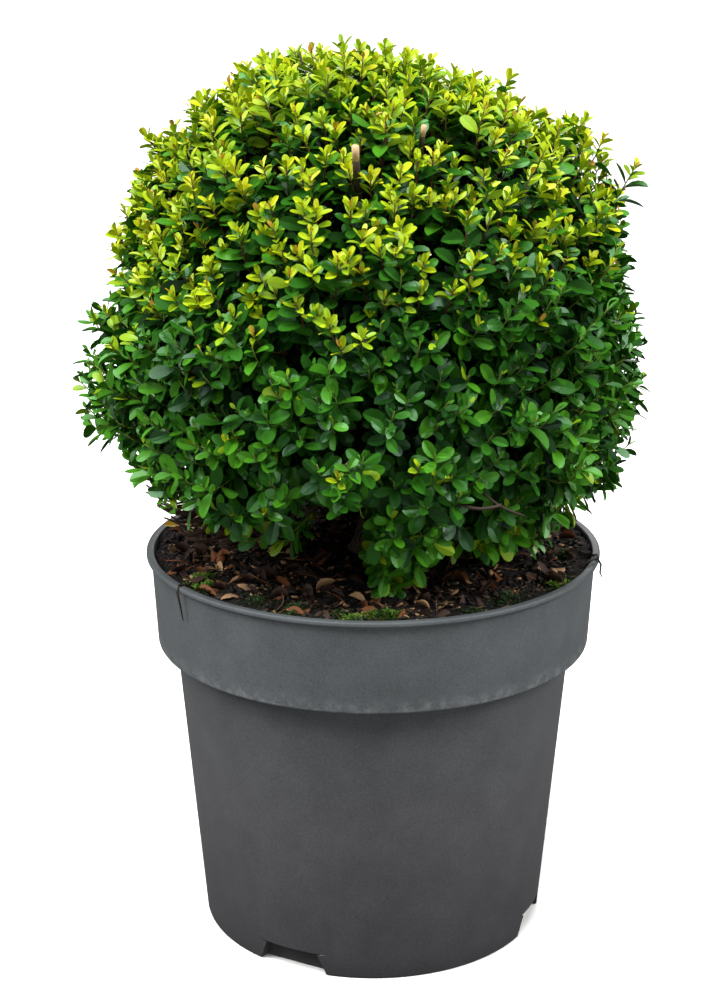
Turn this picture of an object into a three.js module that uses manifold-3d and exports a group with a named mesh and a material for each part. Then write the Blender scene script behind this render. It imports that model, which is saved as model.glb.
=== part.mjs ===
// A potted ball of Japanese holly: a clipped evergreen shrub in a plastic nursery container.
// Millimetres, +Z up. The front is -Y, and the origin is the middle of the pot's flat underside.
// Polar angles are measured from straight up at the crown's centre. Azimuths run from the front
// towards the right, both in degrees.
import * as THREE from 'three';
import { mergeVertices } from 'three/addons/utils/BufferGeometryUtils.js';
import Module from 'manifold-3d';

// Driving dimensions
const SEAT_GAP = 0.3; // left open between pieces that touch
const SLIVER = 0.05; // finer steps left by joining are smoothed away
const CUT_PAST = 1; // how far a cutting shape runs past the face that it opens

const POT = {
  height: 243,
  rimRadius: 140,
  lipDepth: 3,
  collarHeight: 58,
  collarTopRadius: 137,
  collarFootRadius: 134,
  wallTopRadius: 123,
  footRadius: 107,
  footRounding: 1.5,
  wall: 2,
  floor: 3,
  segments: 36,
};

// Each drain recess has its like on the opposite side.
const DRAIN = { azimuths: [-27.5, 71], width: 47, headWidth: 35, height: 14, backRadius: 98 };

// The soil rises from the wall to a flat crest, by way of a shoulder at shares of the run and the rise.
const SOIL = { edgeDrop: 9, crestDrop: 3, crestRadius: 30, shoulderRun: 0.4, shoulderRise: 0.7 };

const TRUNK = {
  height: 46,
  radius: 9,
  tipRadius: 7,
  flare: 7,
  flareHeight: 9,
  lean: [-3, 1.5],
  sides: 10,
  rings: 7,
};

const BOUGH = { tipRadius: 2.2, sides: 6, rings: 4 };

// The crown's outline is a dome over a shallower bowl, each a little squarer than an ellipse.
const CROWN = {
  centre: [-3, 0, 350],
  radius: 166,
  rise: 197,
  fall: 103,
  riseSquareness: 2.3,
  fallSquareness: 2.35,
  lowest: 247,
  seed: 7,
};

// Shares of the way from the crown's centre to its outline
const SHARE = { hollow: 0.64, shootRoot: 0.7, core: 0.85, firstLeaf: 0.87, shootTip: 0.92, pastTip: 0.13 };

// The masses of foliage: the clipped ball over a ring of sprigs that hang round its foot. A shoot's
// root lies lower than its tip by the lift.
const TIERS = [
  { name: 'ball', count: 1, azimuth: 0, polar: [0, 112], corePolar: [0, 111], lift: 6 },
  { name: 'skirt', count: 5, azimuth: 36, polar: [112, 150], corePolar: [113, 141], lift: -3 },
];

// Rings of boughs: which tier they carry, how far up the trunk they leave it, how steeply they leave
// and arrive, where their tips lie, how widely they swing, and how far a stem carries on from the tip
const FORKS = [
  { name: 'leader', tier: 'ball', count: 1, azimuth: 0, along: 1, radius: 4.8,
    leaveRise: 90, arriveRise: 90, tipOut: 2, tipHeight: 436, swing: 40, stem: 52 },
  { name: 'side', tier: 'ball', count: 5, azimuth: 0, along: 0.6, radius: 3.6,
    leaveRise: 52, arriveRise: 20, tipOut: 68, tipHeight: 372, swing: 34, stem: 46 },
  { name: 'low', tier: 'skirt', count: 5, azimuth: 36, along: 0.35, radius: 3.2,
    leaveRise: 50, arriveRise: 6, tipOut: 50, tipHeight: 296, swing: 20, stem: 54 },
];

const CORE = {
  columns: 5,
  rows: 4,
  turns: 20,
  arcs: 7,
  shrink: 0.975,
  edgeSink: 0.04,
  lump: 0.02,
  lumpsDown: 12,
  lumpsRound: 6,
};

const SHOOT = { count: 84, lowestPolar: 146, rootRadius: 2.2, tipRadius: 1.4, sides: 3, jitter: 3, inset: 4 };

// Shoots that stand out of the clipped outline, as [polar, azimuth, share of the outline at the tip]
const STRAYS = [
  [8, -40, 0.95], [42, -92, 0.98], [38, 88, 1], [52, 84, 1.03], [86, -90, 1], [60, 165, 1], [80, 200, 1],
];

// Leaves are fewer than on the real shrub, and larger.
const LEAF = {
  perShoot: 4,
  length: 42,
  upperLength: 32,
  endLength: 20,
  endPlace: 0.985,
  widthRatio: 0.6,
  ridgePlace: 0.55,
  obovate: 0.65,
  thickness: 1.4,
  camber: 1.6,
  sink: 0.2,
  splay: 78,
  upperSplay: 52,
  endSplay: 10,
  tucks: [0, 20, 40],
  turns: [0, 45, -45, 90, -90],
  spaceMargin: 0.8,
};

const GOLDEN_ANGLE = 180 * (3 - Math.sqrt(5));
const UP = new THREE.Vector3(0, 0, 1);
const CROWN_CENTRE = new THREE.Vector3(...CROWN.centre);
const { degToRad, radToDeg, lerp, clamp } = THREE.MathUtils;

const wasm = await Module();
wasm.setup();

// Solids

function solidOf(geometry) {
  geometry.deleteAttribute('normal');
  geometry.deleteAttribute('uv');
  const merged = mergeVertices(geometry);
  return new wasm.Manifold(new wasm.Mesh({
    numProp: 3,
    vertProperties: new Float32Array(merged.attributes.position.array),
    triVerts: new Uint32Array(merged.index.array),
  }));
}

function joined(solids) {
  return solids.reduce((whole, next) => whole.add(next));
}

// The largest body alone, without slivers: loose scraps are dropped, and sealed hollows are filled.
function largestBody(solid) {
  const bodies = solid.simplify(SLIVER).decompose();
  return bodies.reduce((best, next) => (next.volume() > best.volume() ? next : best));
}

function meshOf(name, solid, material) {
  const { vertProperties, triVerts } = solid.getMesh();
  const geometry = new THREE.BufferGeometry()
    .setAttribute('position', new THREE.BufferAttribute(vertProperties, 3))
    .setIndex(new THREE.BufferAttribute(triVerts, 1));
  geometry.computeVertexNormals();
  const mesh = new THREE.Mesh(geometry, material);
  mesh.name = name;
  return mesh;
}

function turned(points, segments) {
  const profile = points.map(([radius, height]) => new THREE.Vector2(radius, height));
  return solidOf(new THREE.LatheGeometry(profile, segments).rotateX(Math.PI / 2));
}

// A round limb along a curve: a cylinder whose rings are laid on the curve's frames.
function limb(curve, radiusAt, sides, rings) {
  const geometry = new THREE.CylinderGeometry(1, 1, 1, sides, rings);
  const { normals, binormals } = curve.computeFrenetFrames(rings);
  const position = geometry.attributes.position;
  const vertex = new THREE.Vector3();
  for (let i = 0; i < position.count; i++) {
    const { x, y, z } = vertex.fromBufferAttribute(position, i);
    const ring = Math.round((y + 0.5) * rings);
    const radius = radiusAt(ring / rings);
    vertex.copy(curve.getPointAt(ring / rings));
    vertex.addScaledVector(binormals[ring], x * radius).addScaledVector(normals[ring], z * radius);
    position.setXYZ(i, vertex.x, vertex.y, vertex.z);
  }
  return solidOf(geometry);
}

function seededRandom(seed) {
  let state = seed;
  return () => {
    state = (state + 0x6d2b79f5) | 0;
    let mixed = Math.imul(state ^ (state >>> 15), 1 | state);
    mixed = (mixed + Math.imul(mixed ^ (mixed >>> 7), 61 | mixed)) ^ mixed;
    return ((mixed ^ (mixed >>> 14)) >>> 0) / 4294967296;
  };
}

// Places in and around the crown

function direction(polar, azimuth) {
  const p = degToRad(polar);
  const a = degToRad(azimuth);
  return new THREE.Vector3(Math.sin(p) * Math.sin(a), -Math.sin(p) * Math.cos(a), Math.cos(p));
}

// How far the crown's outline lies from its centre at a polar angle
function reach(polar) {
  const across = Math.sin(degToRad(polar)) / CROWN.radius;
  const upward = Math.cos(degToRad(polar));
  const power = upward > 0 ? CROWN.riseSquareness : CROWN.fallSquareness;
  const height = Math.abs(upward) / (upward > 0 ? CROWN.rise : CROWN.fall);
  return (across ** power + height ** power) ** (-1 / power);
}

function crownPoint(polar, azimuth, share) {
  return direction(polar, azimuth).multiplyScalar(reach(polar) * share).add(CROWN_CENTRE);
}

function azimuthOff(azimuth, from) {
  return THREE.MathUtils.euclideanModulo(azimuth - from + 180, 360) - 180;
}

// True if a point lies in a sector's own space, short of an outermost share of the crown's reach and
// a margin clear of its neighbours and of the pot
function inSpace(point, sector, outermost) {
  const from = point.clone().sub(CROWN_CENTRE);
  const distance = from.length();
  const polar = radToDeg(from.angleTo(UP));
  const azimuth = radToDeg(Math.atan2(from.x, -from.y));
  const [above, below] = sector.ring.polar;
  const inTier = Math.min(above > 0 ? polar - above : Infinity, below - polar);
  const inSector = sector.halfWidth - Math.abs(azimuthOff(azimuth, sector.azimuth));
  const flank = sector.ring.count > 1 ? degToRad(inSector) * Math.hypot(from.x, from.y) : Infinity;
  return degToRad(inTier) * distance > LEAF.spaceMargin
    && flank > LEAF.spaceMargin
    && distance < reach(polar) * outermost
    && point.z > CROWN.lowest;
}

// The members of a tier or ring, evenly spaced round the axis, each with its own label
function aroundAxis(ring) {
  return Array.from({ length: ring.count }, (_, i) => ({
    ring,
    label: ring.count > 1 ? `${ring.name}_${i + 1}` : ring.name,
    azimuth: ring.azimuth + (i * 360) / ring.count,
    halfWidth: 180 / ring.count,
  }));
}

const sectors = TIERS.flatMap(aroundAxis);
const forks = FORKS.flatMap(aroundAxis);

// Pot and soil

const collarBase = POT.height - POT.collarHeight;
const shelfTop = collarBase + POT.wall;
const lipUnderside = POT.height - POT.lipDepth;

function potOutline() {
  const { footRadius, footRounding, rimRadius, height } = POT;
  const outline = new THREE.Path();
  outline.moveTo(0, 0);
  outline.lineTo(footRadius - footRounding, 0);
  outline.absarc(footRadius - footRounding, footRounding, footRounding, -Math.PI / 2, 0);
  outline.lineTo(POT.wallTopRadius, collarBase);
  outline.lineTo(POT.collarFootRadius, collarBase);
  outline.lineTo(POT.collarTopRadius, lipUnderside);
  outline.lineTo(rimRadius, lipUnderside);
  outline.lineTo(rimRadius, height);
  outline.lineTo(0, height);
  return outline.getPoints(2).map(({ x, y }) => [x, y]);
}

// The inside of the pot from its floor to its collar, drawn in by an inset, then on to the points given
function potInside(inset, ...upper) {
  const inner = POT.wall + inset;
  return [
    [0, POT.floor + inset],
    [POT.footRadius - inner, POT.floor + inset],
    [POT.wallTopRadius - inner, shelfTop + inset],
    [POT.collarFootRadius - inner, shelfTop + inset],
    ...upper,
  ];
}

// A drain recess at the foot of the wall, open below and outwards. Its outline is grown by a margin.
function drainRecess(azimuth, margin) {
  const { width, headWidth, height, backRadius } = DRAIN;
  const foot = width / 2 + margin;
  const head = headWidth / 2 + margin;
  const outline = new THREE.Shape();
  outline.moveTo(-foot, -CUT_PAST);
  outline.lineTo(foot, -CUT_PAST);
  outline.lineTo(head, height + margin);
  outline.lineTo(-head, height + margin);
  const depth = POT.rimRadius - backRadius + margin;
  const geometry = new THREE.ExtrudeGeometry(outline, { depth, bevelEnabled: false });
  const outward = direction(90, azimuth);
  const frame = new THREE.Matrix4().makeBasis(UP.clone().cross(outward), UP, outward);
  frame.setPosition(outward.clone().multiplyScalar(backRadius - margin));
  return solidOf(geometry.applyMatrix4(frame));
}

function drainRecesses(margin) {
  const azimuths = DRAIN.azimuths.flatMap((azimuth) => [azimuth, azimuth + 180]);
  return joined(azimuths.map((azimuth) => drainRecess(azimuth, margin)));
}

function makePot() {
  const envelope = turned(potOutline(), POT.segments);
  const insideTop = POT.collarTopRadius - POT.wall;
  const openTop = POT.height + CUT_PAST;
  const cavity = turned(potInside(0, [insideTop, openTop], [0, openTop]), POT.segments);
  const housings = envelope.intersect(drainRecesses(POT.wall));
  return envelope.subtract(cavity).add(housings).subtract(drainRecesses(0));
}

const soilCrest = POT.height - SOIL.crestDrop;

function makeSoil() {
  const edgeHeight = POT.height - SOIL.edgeDrop;
  const edgeRadius = POT.collarTopRadius - POT.wall - SEAT_GAP * 2;
  const shoulder = [
    lerp(edgeRadius, SOIL.crestRadius, SOIL.shoulderRun),
    lerp(edgeHeight, soilCrest, SOIL.shoulderRise),
  ];
  const profile = potInside(
    SEAT_GAP, [edgeRadius, edgeHeight], shoulder, [SOIL.crestRadius, soilCrest], [0, soilCrest],
  );
  return turned(profile, POT.segments).subtract(drainRecesses(POT.wall + SEAT_GAP));
}

// Trunk and boughs

const trunkFoot = new THREE.Vector3(0, 0, soilCrest + SEAT_GAP);
const trunkTip = new THREE.Vector3(...TRUNK.lean, trunkFoot.z + TRUNK.height);
const trunkCurve = new THREE.QuadraticBezierCurve3(
  trunkFoot, new THREE.Vector3(0, 0, lerp(trunkFoot.z, trunkTip.z, 0.5)), trunkTip,
);

function makeTrunk(growth) {
  const radiusAt = (t) => growth + lerp(TRUNK.radius, TRUNK.tipRadius, t)
    + TRUNK.flare * Math.exp((-t * TRUNK.height) / TRUNK.flareHeight);
  return limb(trunkCurve, radiusAt, TRUNK.sides, TRUNK.rings);
}

function boughTip({ ring, azimuth }) {
  return direction(90, azimuth).multiplyScalar(ring.tipOut).add(CROWN_CENTRE).setZ(ring.tipHeight);
}

function stemDirection({ ring, azimuth }) {
  return direction(90 - ring.arriveRise, azimuth);
}

// The leader carries the trunk on, and every other bough leaves it sideways.
function boughCurve(fork) {
  const { along, leaveRise, swing } = fork.ring;
  const onwards = trunkCurve.getTangentAt(along);
  const start = trunkCurve.getPointAt(along).addScaledVector(onwards, SEAT_GAP);
  const leaving = along < 1 ? direction(90 - leaveRise, fork.azimuth) : onwards;
  const tip = boughTip(fork);
  const leave = start.clone().addScaledVector(leaving, swing);
  const arrive = tip.clone().addScaledVector(stemDirection(fork), -swing);
  return new THREE.CubicBezierCurve3(start, leave, arrive, tip);
}

function makeBough(fork, trunkWithGap) {
  const radiusAt = (t) => lerp(fork.ring.radius, BOUGH.tipRadius, t);
  return largestBody(limb(boughCurve(fork), radiusAt, BOUGH.sides, BOUGH.rings).subtract(trunkWithGap));
}

// Foliage

function lumps(polar, azimuth) {
  const down = Math.sin(degToRad(polar * CORE.lumpsDown));
  const round = Math.cos(degToRad(azimuth * CORE.lumpsRound));
  return 1 + CORE.lump * down * round;
}

// The ball's core: a dome, hollow and open below, turned about the crown's axis
function makeDome(tier) {
  const edge = tier.corePolar[1];
  const arc = (from, to, share) => Array.from({ length: CORE.arcs + 1 }, (_, i) => {
    const polar = lerp(from, to, i / CORE.arcs);
    const distance = reach(polar) * share * lumps(polar, 0);
    return [Math.sin(degToRad(polar)) * distance, Math.cos(degToRad(polar)) * distance];
  });
  const profile = [...arc(0, edge, SHARE.hollow), ...arc(edge, 0, SHARE.core)];
  return turned(profile, CORE.turns).translate(CROWN.centre);
}

// A sprig's core: a patch of the crown's shell as a cushion. It is a box whose width, height and
// depth become azimuth, polar angle and share of the reach.
function makeCushion(sector) {
  const { columns, rows, shrink, edgeSink } = CORE;
  const [above, below] = sector.ring.corePolar;
  const geometry = new THREE.BoxGeometry(2, 2, 1, columns, rows, 1);
  const position = geometry.attributes.position;
  for (let i = 0; i < position.count; i++) {
    const u = position.getX(i);
    const v = position.getY(i);
    const polar = lerp(below, above, (v + 1) / 2);
    const azimuth = sector.azimuth + u * sector.halfWidth * shrink;
    const cushion = lumps(polar, azimuth) * (1 - edgeSink * u ** 4) * (1 - edgeSink * v ** 4);
    const share = position.getZ(i) > 0 ? SHARE.core * cushion : SHARE.hollow;
    position.setXYZ(i, ...crownPoint(polar, azimuth, share));
  }
  return solidOf(geometry);
}

function makeStem(fork) {
  const start = boughTip(fork).addScaledVector(stemDirection(fork), SEAT_GAP);
  const end = start.clone().addScaledVector(stemDirection(fork), fork.ring.stem);
  return limb(new THREE.LineCurve3(start, end), () => BOUGH.tipRadius, BOUGH.sides, 1);
}

// One obovate blade with 4 corners and a ridge on each face, from its root at the origin along +X
function makeLeaf(length) {
  const corners = 4;
  const geometry = new THREE.SphereGeometry(1, corners, 2);
  const position = geometry.attributes.position;
  for (let i = 0; i < position.count; i++) {
    const onRim = Math.abs(position.getY(i)) < 0.5;
    const turn = Math.atan2(position.getZ(i), -position.getX(i));
    const along = onRim ? ((1 - Math.cos(turn)) / 2) ** LEAF.obovate : LEAF.ridgePlace;
    const across = onRim ? Math.sin(turn) / 2 : 0;
    const ridge = onRim ? 0 : LEAF.camber + (position.getY(i) * LEAF.thickness) / 2;
    position.setXYZ(i, along * length - LEAF.sink, ridge, across * length * LEAF.widthRatio);
  }
  return geometry;
}

// A leaf set on a shoot: it leans out by the splay, at an angle round the shoot, face up to the tip
function placedLeaf(root, axis, turn, splay, length) {
  const outward = new THREE.Vector3(1, 0, 0).cross(axis).normalize();
  outward.applyAxisAngle(axis, degToRad(turn));
  const along = axis.clone().multiplyScalar(Math.cos(degToRad(splay)));
  along.addScaledVector(outward, Math.sin(degToRad(splay)));
  const face = axis.clone().multiplyScalar(Math.sin(degToRad(splay)));
  face.addScaledVector(outward, -Math.cos(degToRad(splay)));
  const frame = new THREE.Matrix4().makeBasis(along, face, along.clone().cross(face)).setPosition(root);
  return makeLeaf(length).applyMatrix4(frame);
}

function geometryInSpace(geometry, sector, outermost) {
  const { position } = geometry.attributes;
  const pointAt = (i) => new THREE.Vector3().fromBufferAttribute(position, i);
  return Array.from({ length: position.count }, (_, i) => pointAt(i))
    .every((point) => inSpace(point, sector, outermost));
}

// Shoot tips lie on a golden-angle lattice over the crown, so they are even on all sides.
function shootLattice(random) {
  const lowest = Math.cos(degToRad(SHOOT.lowestPolar));
  const even = Array.from({ length: SHOOT.count }, (_, i) => ({
    polar: radToDeg(Math.acos(lerp(1, lowest, (i + 0.5) / SHOOT.count))) + (random() - 0.5) * SHOOT.jitter,
    azimuth: i * GOLDEN_ANGLE + (random() - 0.5) * SHOOT.jitter,
    tipShare: SHARE.shootTip,
    firstTurn: random() * 360,
  }));
  const strays = STRAYS.map(([polar, azimuth, tipShare]) => (
    { polar, azimuth, tipShare, firstTurn: random() * 360 }
  ));
  return [...strays, ...even];
}

function shootCurve(shoot, sector) {
  const { ring, azimuth, halfWidth } = sector;
  const [above, below] = ring.corePolar;
  const polar = clamp(shoot.polar, above && above + SHOOT.inset, below);
  const most = halfWidth * CORE.shrink - SHOOT.inset;
  const off = azimuthOff(shoot.azimuth, azimuth);
  const tipAzimuth = ring.count > 1 ? azimuth + clamp(off, -most, most) : shoot.azimuth;
  const rootPolar = clamp(polar + ring.lift, above && above + SHOOT.inset, below - SHOOT.inset);
  return new THREE.LineCurve3(
    crownPoint(rootPolar, tipAzimuth, SHARE.shootRoot),
    crownPoint(polar, tipAzimuth, shoot.tipShare),
  );
}

// The leaves of one shoot, each at the widest splay that keeps it in its space and off the others
function shootLeaves(shoot, sector, curve, others) {
  const axis = curve.getTangent(0);
  const surface = (SHARE.firstLeaf - SHARE.shootRoot) / (shoot.tipShare - SHARE.shootRoot);
  const leaves = [];
  for (let k = 0; k <= LEAF.perShoot; k++) {
    const share = k / LEAF.perShoot;
    const root = curve.getPoint(lerp(surface, LEAF.endPlace, share));
    const atEnd = k === LEAF.perShoot;
    const length = atEnd ? LEAF.endLength : lerp(LEAF.length, LEAF.upperLength, share);
    const splay = atEnd ? LEAF.endSplay : lerp(LEAF.splay, LEAF.upperSplay, share);
    const turn = shoot.firstTurn + k * GOLDEN_ANGLE;
    const leaf = LEAF.tucks
      .flatMap((tuck) => LEAF.turns.map((extra) => (
        placedLeaf(root, axis, turn + extra, Math.max(splay - tuck, LEAF.endSplay), length)
      )))
      .filter((blade) => geometryInSpace(blade, sector, shoot.tipShare + SHARE.pastTip))
      .map(solidOf)
      .find((solid) => others.every((other) => other.intersect(solid).isEmpty()));
    if (leaf) leaves.push(leaf);
  }
  return leaves;
}

function makeMass(sector, lattice, limbs) {
  const { ring, azimuth, halfWidth } = sector;
  const core = ring.count > 1 ? makeCushion(sector) : makeDome(ring);
  const facesSector = (member) => Math.abs(azimuthOff(member.azimuth, azimuth)) <= halfWidth;
  const ownForks = forks.filter((fork) => fork.ring.tier === ring.name && facesSector(fork));
  const stems = ownForks.map(makeStem);
  const inTier = (shoot) => shoot.polar >= ring.polar[0] && shoot.polar < ring.polar[1];
  const shoots = lattice.filter((shoot) => inTier(shoot) && facesSector(shoot));
  const radiusAt = (t) => lerp(SHOOT.rootRadius, SHOOT.tipRadius, t);
  const twigs = [];
  const leaves = [];
  for (const shoot of shoots) {
    const curve = shootCurve(shoot, sector);
    if (!inSpace(curve.getPoint(1), sector, 1 + SHARE.pastTip)) continue;
    twigs.push(limb(curve, radiusAt, SHOOT.sides, 1));
    leaves.push(...shootLeaves(shoot, sector, curve, [core, limbs, ...leaves]));
  }
  return largestBody(joined([core, ...stems, ...twigs, ...leaves]));
}

// Finishes

function finish(color, roughness) {
  return new THREE.MeshStandardMaterial({ color, roughness, metalness: 0 });
}

const COLOURS = { pot: 0x4c4d50, soil: 0x2b211a, bark: 0x54452f, ball: 0x5d8a22, skirt: 0x2f6324 };

// Assembly

const plant = new THREE.Group();
plant.name = 'potted_holly_ball';

plant.add(meshOf('pot', makePot(), finish(COLOURS.pot, 0.55)));
plant.add(meshOf('soil', makeSoil(), finish(COLOURS.soil, 0.95)));

const trunk = makeTrunk(0);
const trunkWithGap = makeTrunk(SEAT_GAP);
plant.add(meshOf('trunk', trunk, finish(COLOURS.bark, 0.9)));

const boughs = forks.map((fork) => makeBough(fork, trunkWithGap));
forks.forEach((fork, i) => {
  plant.add(meshOf(`bough_${fork.label}`, boughs[i], finish(COLOURS.bark, 0.9)));
});

const limbs = joined([trunk, ...boughs]);
const lattice = shootLattice(seededRandom(CROWN.seed));
for (const sector of sectors) {
  const foliage = makeMass(sector, lattice, limbs);
  plant.add(meshOf(`foliage_${sector.label}`, foliage, finish(COLOURS[sector.ring.name], 0.5)));
}

export default plant;
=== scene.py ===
import math

import bmesh
import bpy
import numpy as np
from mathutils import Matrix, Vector, noise


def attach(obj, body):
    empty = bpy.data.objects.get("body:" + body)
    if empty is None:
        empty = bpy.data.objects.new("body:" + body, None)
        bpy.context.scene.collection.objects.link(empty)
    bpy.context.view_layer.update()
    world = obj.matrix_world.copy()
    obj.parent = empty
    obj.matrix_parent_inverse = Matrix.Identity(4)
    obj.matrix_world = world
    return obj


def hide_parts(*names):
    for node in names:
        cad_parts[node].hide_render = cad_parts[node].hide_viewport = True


# A clipped ball of Japanese holly in its nursery pot. Metres, +Z up, the front is -Y.
# Polar angles run from straight up at the crown's centre, azimuths from the front towards the right.
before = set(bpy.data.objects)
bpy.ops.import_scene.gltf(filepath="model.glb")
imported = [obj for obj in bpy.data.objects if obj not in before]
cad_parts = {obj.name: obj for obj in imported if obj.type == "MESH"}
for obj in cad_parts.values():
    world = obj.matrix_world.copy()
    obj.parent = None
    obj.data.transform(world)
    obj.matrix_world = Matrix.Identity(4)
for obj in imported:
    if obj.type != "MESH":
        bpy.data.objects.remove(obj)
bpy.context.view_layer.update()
scene = bpy.context.scene
goldenAngle = 180 * (3 - math.sqrt(5))
print("frame loaded:", len(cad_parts), "nodes")


# Camera

photoCamera = {"back": 1.2553, "height": 0.6666, "pitch": 17.52, "yaw": 0.37, "lens": 76.74, "sensor": 36}


def makeCamera():
    data = bpy.data.cameras.new("photo_camera")
    data.lens = photoCamera["lens"]
    data.sensor_width = photoCamera["sensor"]
    camera = bpy.data.objects.new("photo_camera", data)
    camera.location = (0, -photoCamera["back"], photoCamera["height"])
    camera.rotation_euler = (math.radians(90 - photoCamera["pitch"]), 0, math.radians(photoCamera["yaw"]))
    scene.collection.objects.link(camera)
    scene.camera = camera


makeCamera()


# Materials

def hexColour(code):
    channels = [int(code[i:i + 2], 16) / 255 for i in (1, 3, 5)]
    return (*[c / 12.92 if c <= 0.04045 else ((c + 0.055) / 1.055) ** 2.4 for c in channels], 1.0)


# An input is a value, a socket, or a node whose first output is meant
def setInputs(tree, node, inputs):
    for name, value in inputs.items():
        if isinstance(value, bpy.types.Node):
            value = value.outputs[0]
        if isinstance(value, bpy.types.NodeSocket):
            tree.links.new(value, node.inputs[name])
        else:
            node.inputs[name].default_value = value


def addNode(tree, kind, inputs, **settings):
    node = tree.nodes.new("ShaderNode" + kind)
    for name, value in settings.items():
        setattr(node, name, value)
    setInputs(tree, node, inputs)
    return node


def newMaterial(name, colour, roughness, ior, **extra):
    material = bpy.data.materials.new(name)
    material.use_nodes = True
    tree = material.node_tree
    shader = tree.nodes["Principled BSDF"]
    setInputs(tree, shader, {"Base Color": hexColour(colour), "Roughness": roughness, "IOR": ior, **extra})
    return material, tree, shader


# Polypropylene, injection moulded: matt, a little mottled, and rubbed pale where the collar's lower edge
# catches on things. Its colour by height dims towards the foot, which is painted shade, and dims again along
# the lip's top. The rub starts, is full between two heights, and ends.
potFinish = {
    "colour": "#35373b", "specular": 0.3, "roughness": (0.47, 0.58),
    "colourAndShadeByHeight": [(0.0, "#3b3b3d"), (0.10, "#525255"), (0.184, "#585a5c"), (0.186, "#5a5e60"),
                 (0.2405, "#5d6163"), (0.243, "#4a4e50")],
    "mottle": 0.12, "mottleMm": 26, "speckle": 0.16, "grainMm": 1.1, "relief": 0.0004,
    "rubbed": "#8c9192", "rub": (0.183, 0.186, 0.187, 0.197), "rubMm": 7, "rubMost": 0.75,
    "soiled": "#1d1a18", "footSoil": 0.02, "speckMm": 9, "soilMost": 0.9,
}


def potPlastic():
    look = potFinish
    material, tree, shader = newMaterial("moulded polypropylene", look["colour"], 0.52, 1.49,
                                         **{"Specular IOR Level": look["specular"]})
    place = addNode(tree, "TexCoord", {}).outputs["Object"]
    height = addNode(tree, "SeparateXYZ", {0: place}).outputs["Z"]
    # painted shade: the colour by height dims the wall towards the foot
    upTo = addNode(tree, "MapRange", {"Value": height, "From Max": pot["height"]})
    tones = addNode(tree, "ValToRGB", {0: upTo})
    ramp = tones.color_ramp.elements
    while len(ramp) < len(look["colourAndShadeByHeight"]):
        ramp.new(1.0)
    for stop, (z, code) in zip(ramp, look["colourAndShadeByHeight"]):
        stop.position, stop.color = z / pot["height"], hexColour(code)
    blotches = addNode(tree, "TexNoise", {
        "Vector": place, "Scale": 1000 / look["mottleMm"], "Detail": 6, "Roughness": 0.65})
    grain = addNode(tree, "TexNoise", {"Vector": place, "Scale": 1000 / look["grainMm"], "Detail": 2})
    smooth, dull = look["roughness"]
    mottle, speckle, gloss = [
        addNode(tree, "MapRange", {
            "Value": pattern, "From Min": 0.3, "From Max": 0.7, "To Min": least, "To Max": most})
        for pattern, least, most in ((blotches, 1 - look["mottle"], 1 + look["mottle"]),
                                     (grain, 1 - look["speckle"], 1 + look["speckle"]),
                                     (blotches, smooth, dull))]
    uneven = addNode(tree, "Math", {0: mottle, 1: speckle}, operation="MULTIPLY")
    body = addNode(tree, "Mix", {0: 1.0, 6: tones, 7: uneven}, data_type="RGBA", blend_type="MULTIPLY")
    # the rub is broken up by a finer noise
    starts, full, fades, ends = look["rub"]
    low, high = [
        addNode(tree, "MapRange", {"Value": height, "From Min": none, "From Max": whole},
                interpolation_type="SMOOTHSTEP")
        for none, whole in ((starts, full), (ends, fades))]
    band = addNode(tree, "Math", {0: low, 1: high}, operation="MULTIPLY")
    broken = addNode(tree, "TexNoise", {
        "Vector": place, "Scale": 1000 / look["rubMm"], "Detail": 6, "Roughness": 0.7})
    patchy = addNode(tree, "MapRange", {
        "Value": broken, "From Min": 0.44, "From Max": 0.75, "To Max": look["rubMost"]})
    rub = addNode(tree, "Math", {0: band, 1: patchy}, operation="MULTIPLY")
    rubbed = addNode(tree, "Mix", {
        0: rub, 6: body.outputs[2], 7: hexColour(look["rubbed"])}, data_type="RGBA")
    # a few soil specks towards the foot
    specks = addNode(tree, "TexVoronoi", {"Vector": place, "Scale": 1000 / look["speckMm"]})
    near = addNode(tree, "MapRange", {
        "Value": specks, "From Min": 0.05, "From Max": 0.11, "To Min": 1, "To Max": 0})
    foot = addNode(tree, "MapRange", {
        "Value": height, "From Min": look["footSoil"], "From Max": 0.0, "To Max": look["soilMost"]})
    soiled = addNode(tree, "Math", {0: near, 1: foot}, operation="MULTIPLY")
    colour = addNode(tree, "Mix", {
        0: soiled, 6: rubbed.outputs[2], 7: hexColour(look["soiled"])}, data_type="RGBA")
    relief = addNode(tree, "Bump", {"Strength": 0.08, "Distance": look["relief"], "Height": grain})
    setInputs(tree, shader, {"Base Color": colour.outputs[2], "Roughness": gloss, "Normal": relief})
    return material


# Potting mix: dark damp crumbs of bark and peat, with paler fibre showing through.
mixFinish = {"wet": "#060302", "dry": "#150e08", "fibre": "#3a291a", "crumbMm": 3.5, "driftMm": 12,
             "fibreMm": 1.6, "relief": 0.002}


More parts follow.
